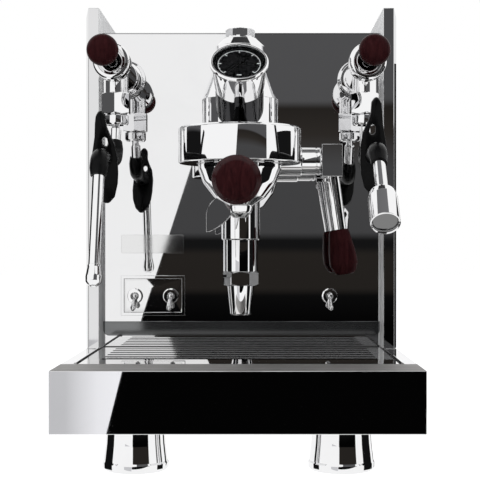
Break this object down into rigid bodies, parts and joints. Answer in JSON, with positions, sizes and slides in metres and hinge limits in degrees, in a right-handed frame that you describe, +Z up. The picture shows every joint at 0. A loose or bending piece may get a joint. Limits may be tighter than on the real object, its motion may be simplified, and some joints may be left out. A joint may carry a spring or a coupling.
{
  "type": "espresso machine",
  "caption": "Mirror-cased espresso machine with a lever brew group, portafilter, joystick steam and water wands, toggle switches and a drawer drip tray.",
  "frame": {"origin": "on the worktop, under the middle of the bounding box", "axes": "+X to the machine's right as the user faces it, +Y to its back, +Z up"},
  "size_m": [0.3, 0.5441, 0.413],
  "materials": {
    "mirror_steel": "mirror-polished stainless sheet",
    "satin_steel": "satin stainless sheet",
    "grille_steel": "polished stainless bars",
    "chrome": "chrome plate on brass",
    "stainless": "pressed stainless",
    "copper": "copper and brass, unpolished",
    "dark_wood": "dark red-brown wood under gloss lacquer",
    "black_rubber": "satin moulded rubber",
    "black_plastic": "matte black",
    "clear_plastic": "clear moulded plastic",
    "pump_paint": "black enamel",
    "dial_black": "matte black dial with a pale scale",
    "needle_paint": "dark grey paint",
    "gauge_clear": "flat clear glass"
  },
  "bodies": {
    "machine": {"base_chassis": "mirror_steel", "left_side_panel": "mirror_steel", "right_side_panel": "mirror_steel", "front_panel": "mirror_steel", "splash_strip": "satin_steel", "rear_panel": "satin_steel", "cup_tray": "satin_steel", "feet": "chrome", "group_body": "chrome", "group_bell": "chrome", "group_gasket": "black_rubber", "shower_screen": "stainless", "group_top_nut": "chrome", "gauge_housing": "chrome", "gauge_bezel": "chrome", "gauge_dial": "dial_black", "gauge_glass": "gauge_clear", "infusion_column": "chrome", "discharge_nozzle": "chrome", "lever_gland": "chrome", "left_valve_body": "chrome", "right_valve_body": "chrome", "left_joint_nut": "chrome", "right_joint_nut": "chrome", "switch_plate": "mirror_steel", "toggle_nuts": "chrome", "boiler": "copper", "inner_frame": "satin_steel", "pump": "pump_paint", "feed_pipes": "copper", "mains_inlet": "black_plastic"},
    "drip_drawer": {"drip_tray": "satin_steel", "drawer_front": "mirror_steel"},
    "grille": {"drip_grille": "grille_steel"},
    "tank": {"water_tank": "clear_plastic"},
    "lid": {"tank_lid": "satin_steel"},
    "lever": {"brew_lever": "chrome", "brew_lever_grip": "dark_wood"},
    "portafilter": {"portafilter_head": "chrome", "portafilter_basket": "stainless", "portafilter_spout": "chrome", "portafilter_handle": "dark_wood"},
    "left_pivot": {"left_joystick_seat": "black_plastic"},
    "left_stick": {"left_joystick": "chrome", "left_joystick_knob": "dark_wood"},
    "right_pivot": {"right_joystick_seat": "black_plastic"},
    "right_stick": {"right_joystick": "chrome", "right_joystick_knob": "dark_wood"},
    "steam_swivel_ring": {"steam_joint_cup": "chrome"},
    "steam_arm": {"steam_wand": "chrome", "steam_wand_grip": "black_rubber", "steam_tip": "chrome"},
    "water_swivel_ring": {"water_joint_cup": "chrome"},
    "water_arm": {"water_wand": "chrome", "water_wand_grip": "black_rubber", "water_head": "chrome"},
    "power_switch": {"power_toggle": "chrome"},
    "pump_switch": {"pump_toggle": "chrome"},
    "heater_switch": {"heater_toggle": "chrome"},
    "needle": {"gauge_needle": "needle_paint"}
  },
  "joints": [
    {"name": "drawer_slide", "type": "slide", "parent": "machine", "child": "drip_drawer", "axis": [0, -1, 0], "range_m": [0, 0.2]},
    {"name": "grille_lift", "type": "slide", "parent": "drip_drawer", "child": "grille", "axis": [0, 0, 1], "range_m": [0, 0.03]},
    {"name": "tank_lift", "type": "slide", "parent": "machine", "child": "tank", "axis": [0, 0, 1], "range_m": [0, 0.26]},
    {"name": "lid_lift", "type": "slide", "parent": "tank", "child": "lid", "axis": [0, 0, 1], "range_m": [0, 0.05]},
    {"name": "lever_lift", "type": "hinge", "parent": "machine", "child": "lever", "pos_m": [0.04, -0.026, 0.2635], "axis": [-1, 0, 0], "range_deg": [0, 55]},
    {"name": "portafilter_turn", "type": "hinge", "parent": "machine", "child": "portafilter", "pos_m": [0, -0.089, 0.257], "axis": [0, 0, 1], "range_deg": [-34, 0]},
    {"name": "left_stick_swing", "type": "hinge", "parent": "machine", "child": "left_pivot", "pos_m": [-0.113, -0.082, 0.347], "axis": [0, 0, 1], "range_deg": [-9, 9], "stiffness_Nm_per_rad": 0.6},
    {"name": "left_stick_tip", "type": "hinge", "parent": "left_pivot", "child": "left_stick", "pos_m": [-0.113, -0.082, 0.347], "axis": [1, 0, 0], "range_deg": [-9, 9], "stiffness_Nm_per_rad": 0.6},
    {"name": "right_stick_swing", "type": "hinge", "parent": "machine", "child": "right_pivot", "pos_m": [0.113, -0.082, 0.347], "axis": [0, 0, 1], "range_deg": [-9, 9], "stiffness_Nm_per_rad": 0.6},
    {"name": "right_stick_tip", "type": "hinge", "parent": "right_pivot", "child": "right_stick", "pos_m": [0.113, -0.082, 0.347], "axis": [1, 0, 0], "range_deg": [-9, 9], "stiffness_Nm_per_rad": 0.6},
    {"name": "steam_swivel", "type": "hinge", "parent": "machine", "child": "steam_swivel_ring", "pos_m": [-0.113, -0.059, 0.301], "axis": [0, 0, 1], "range_deg": [-35, 30]},
    {"name": "steam_tilt", "type": "hinge", "parent": "steam_swivel_ring", "child": "steam_arm", "pos_m": [-0.113, -0.059, 0.301], "axis": [-1, 0, 0], "range_deg": [-18, 8]},
    {"name": "water_swivel", "type": "hinge", "parent": "machine", "child": "water_swivel_ring", "pos_m": [0.113, -0.059, 0.301], "axis": [0, 0, 1], "range_deg": [-22, 35]},
    {"name": "water_tilt", "type": "hinge", "parent": "water_swivel_ring", "child": "water_arm", "pos_m": [0.113, -0.059, 0.301], "axis": [-1, 0, 0], "range_deg": [-22, 2]},
    {"name": "power_switch_flip", "type": "hinge", "parent": "machine", "child": "power_switch", "pos_m": [-0.10415, 0.0195, 0.135], "axis": [-1, 0, 0], "range_deg": [0, 64]},
    {"name": "pump_switch_flip", "type": "hinge", "parent": "machine", "child": "pump_switch", "pos_m": [-0.06935, 0.0195, 0.135], "axis": [-1, 0, 0], "range_deg": [0, 64]},
    {"name": "heater_switch_flip", "type": "hinge", "parent": "machine", "child": "heater_switch", "pos_m": [0.0864, 0.021, 0.135], "axis": [-1, 0, 0], "range_deg": [0, 64]},
    {"name": "needle_sweep", "type": "hinge", "parent": "machine", "child": "needle", "pos_m": [0, -0.122, 0.3406], "axis": [0, 0.7314, -0.682], "range_deg": [0, 270]}
  ]
}
